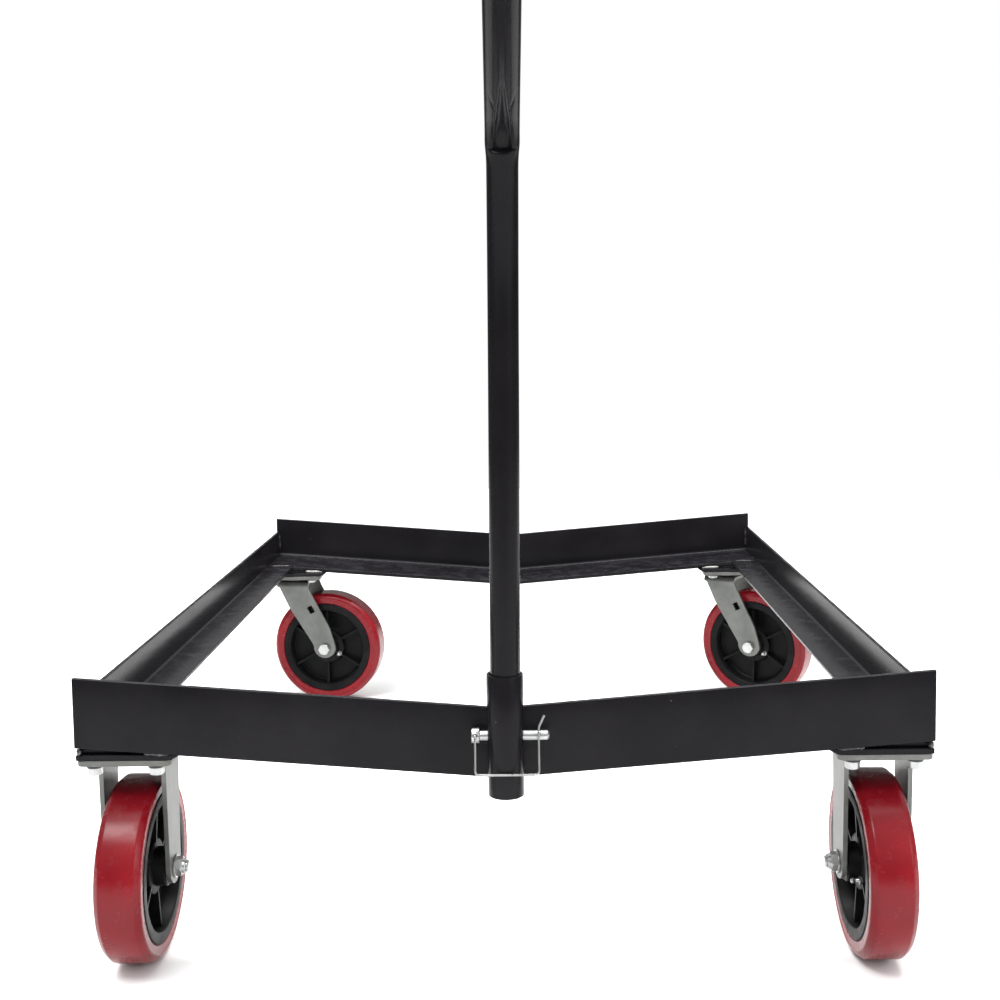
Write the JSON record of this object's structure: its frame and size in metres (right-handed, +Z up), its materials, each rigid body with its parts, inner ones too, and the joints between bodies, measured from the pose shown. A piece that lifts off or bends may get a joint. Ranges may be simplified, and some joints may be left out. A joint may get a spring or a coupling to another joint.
{
  "type": "drum dolly",
  "caption": "Low rectangular steel frame dolly with V-shaped cross rails, rigid front casters, swivel rear casters and a bent pull handle pinned into a front socket.",
  "frame": {"origin": "on the floor, under the middle of the whole dolly's box with the handle fitted and the rear casters as posed", "axes": "+Z up, +Y away from the handle toward the swivel casters, +X to the right seen from the handle"},
  "size_m": [1.01, 1.5458, 1.0743],
  "materials": {
    "black_paint": "gloss",
    "satin_zinc": "satin",
    "bright_zinc": "polished",
    "red_polyurethane": "satin",
    "black_core": "satin",
    "bearing_steel": "satin",
    "grip_rubber": "matte"
  },
  "bodies": {
    "frame": {"front_cross_rail": "black_paint", "rear_cross_rail": "black_paint", "left_side_rail": "black_paint", "right_side_rail": "black_paint", "front_left_mount_plate": "black_paint", "front_left_top_plate": "satin_zinc", "front_left_mount_bolt_1": "bright_zinc", "front_left_mount_bolt_2": "bright_zinc", "front_left_mount_bolt_3": "bright_zinc", "front_left_mount_bolt_4": "bright_zinc", "front_left_fork": "satin_zinc", "front_left_hub_sleeve": "bearing_steel", "front_left_axle_bolt": "bright_zinc", "front_left_axle_nut": "bright_zinc", "front_right_mount_plate": "black_paint", "front_right_top_plate": "satin_zinc", "front_right_mount_bolt_1": "bright_zinc", "front_right_mount_bolt_2": "bright_zinc", "front_right_mount_bolt_3": "bright_zinc", "front_right_mount_bolt_4": "bright_zinc", "front_right_fork": "satin_zinc", "front_right_hub_sleeve": "bearing_steel", "front_right_axle_bolt": "bright_zinc", "front_right_axle_nut": "bright_zinc", "rear_left_mount_plate": "black_paint", "rear_left_top_plate": "satin_zinc", "rear_left_raceway": "satin_zinc", "rear_left_kingpin": "bright_zinc", "rear_right_mount_plate": "black_paint", "rear_right_top_plate": "satin_zinc", "rear_right_raceway": "satin_zinc", "rear_right_kingpin": "bright_zinc", "handle_socket": "black_paint", "handle_post": "black_paint", "grip_bar": "black_paint", "left_grip": "grip_rubber", "right_grip": "grip_rubber"},
    "front_left_wheel": {"front_left_tyre": "red_polyurethane", "front_left_wheel_core": "black_core", "front_left_wheel_bearing": "bearing_steel"},
    "front_right_wheel": {"front_right_tyre": "red_polyurethane", "front_right_wheel_core": "black_core", "front_right_wheel_bearing": "bearing_steel"},
    "rear_left_wheel": {"rear_left_tyre": "red_polyurethane", "rear_left_wheel_core": "black_core", "rear_left_wheel_bearing": "bearing_steel"},
    "rear_left_swivel": {"rear_left_fork": "satin_zinc", "rear_left_hub_sleeve": "bearing_steel", "rear_left_axle_bolt": "bright_zinc", "rear_left_axle_nut": "bright_zinc"},
    "rear_right_wheel": {"rear_right_tyre": "red_polyurethane", "rear_right_wheel_core": "black_core", "rear_right_wheel_bearing": "bearing_steel"},
    "rear_right_swivel": {"rear_right_fork": "satin_zinc", "rear_right_hub_sleeve": "bearing_steel", "rear_right_axle_bolt": "bright_zinc", "rear_right_axle_nut": "bright_zinc"},
    "hitch_pin": {"hitch_pin": "bright_zinc"},
    "pin_bail": {"pin_bail": "bright_zinc"}
  },
  "joints": [
    {"name": "front_left_wheel_spin", "type": "hinge", "parent": "frame", "child": "front_left_wheel", "pos_m": [-0.45423, -0.33554, 0.1016], "axis": [1, 0, 0], "continuous": true},
    {"name": "front_right_wheel_spin", "type": "hinge", "parent": "frame", "child": "front_right_wheel", "pos_m": [0.35857, -0.33554, 0.1016], "axis": [1, 0, 0], "continuous": true},
    {"name": "rear_left_caster_swivel", "type": "hinge", "parent": "frame", "child": "rear_left_swivel", "pos_m": [-0.45423, 0.70086, 0.225], "axis": [0, 0, 1], "continuous": true},
    {"name": "rear_left_wheel_spin", "type": "hinge", "parent": "rear_left_swivel", "child": "rear_left_wheel", "pos_m": [-0.39482, 0.69251, 0.1016], "axis": [0.1392, 0.9903, 0], "continuous": true},
    {"name": "rear_right_caster_swivel", "type": "hinge", "parent": "frame", "child": "rear_right_swivel", "pos_m": [0.35857, 0.70086, 0.225], "axis": [0, 0, 1], "continuous": true},
    {"name": "rear_right_wheel_spin", "type": "hinge", "parent": "rear_right_swivel", "child": "rear_right_wheel", "pos_m": [0.40889, 0.66818, 0.1016], "axis": [0.5446, 0.8387, 0], "continuous": true},
    {"name": "pin_pull", "type": "slide", "parent": "frame", "child": "hitch_pin", "axis": [1, 0, 0], "range_m": [-0.012, 0.007]},
    {"name": "bail_swing", "type": "hinge", "parent": "hitch_pin", "child": "pin_bail", "pos_m": [-0.07528, -0.41489, 0.273], "axis": [0, 0.9563, -0.2924], "range_deg": [0, 110]}
  ]
}
